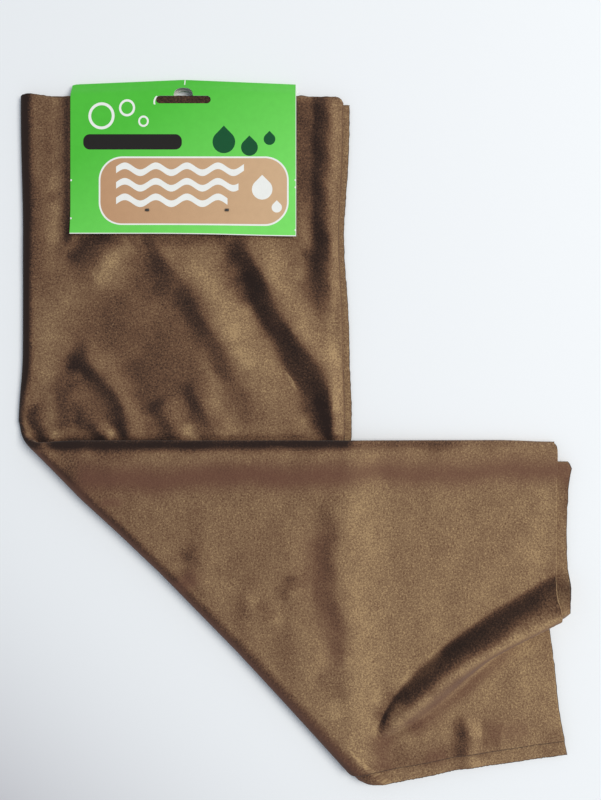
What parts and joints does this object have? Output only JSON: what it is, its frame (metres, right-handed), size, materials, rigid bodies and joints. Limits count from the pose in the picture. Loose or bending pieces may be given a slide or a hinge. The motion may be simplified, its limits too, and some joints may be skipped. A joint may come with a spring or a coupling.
{
  "type": "chamois leather",
  "caption": "Folded suede-like drying cloth, laid in an L with a diagonal fold, with a folded header card that has a hang hole and is held by plastic tag pins.",
  "frame": {"origin": "middle of the footprint, on the table", "axes": "+Y up the card, from the cloth to the hang hole; +X along the lower limb towards its cut end; +Z off the table"},
  "size_m": [0.3018, 0.3884, 0.0188],
  "materials": {
    "chamois_cloth": "brown suede-like nap",
    "printed_card": "printed, satin",
    "tag_pin_plastic": "dark, satin"
  },
  "bodies": {
    "upper": {"cloth_upper_limb": "chamois_cloth", "header_card": "printed_card", "tag_pin_left": "tag_pin_plastic", "tag_pin_right": "tag_pin_plastic"},
    "lower": {"cloth_lower_limb": "chamois_cloth"}
  },
  "joints": [
    {"name": "lower_limb_fold", "type": "hinge", "parent": "upper", "child": "lower", "pos_m": [-0.05982, -0.09411, 0.0052], "axis": [0.6956, -0.7184, 0], "range_deg": [0, 170]}
  ]
}
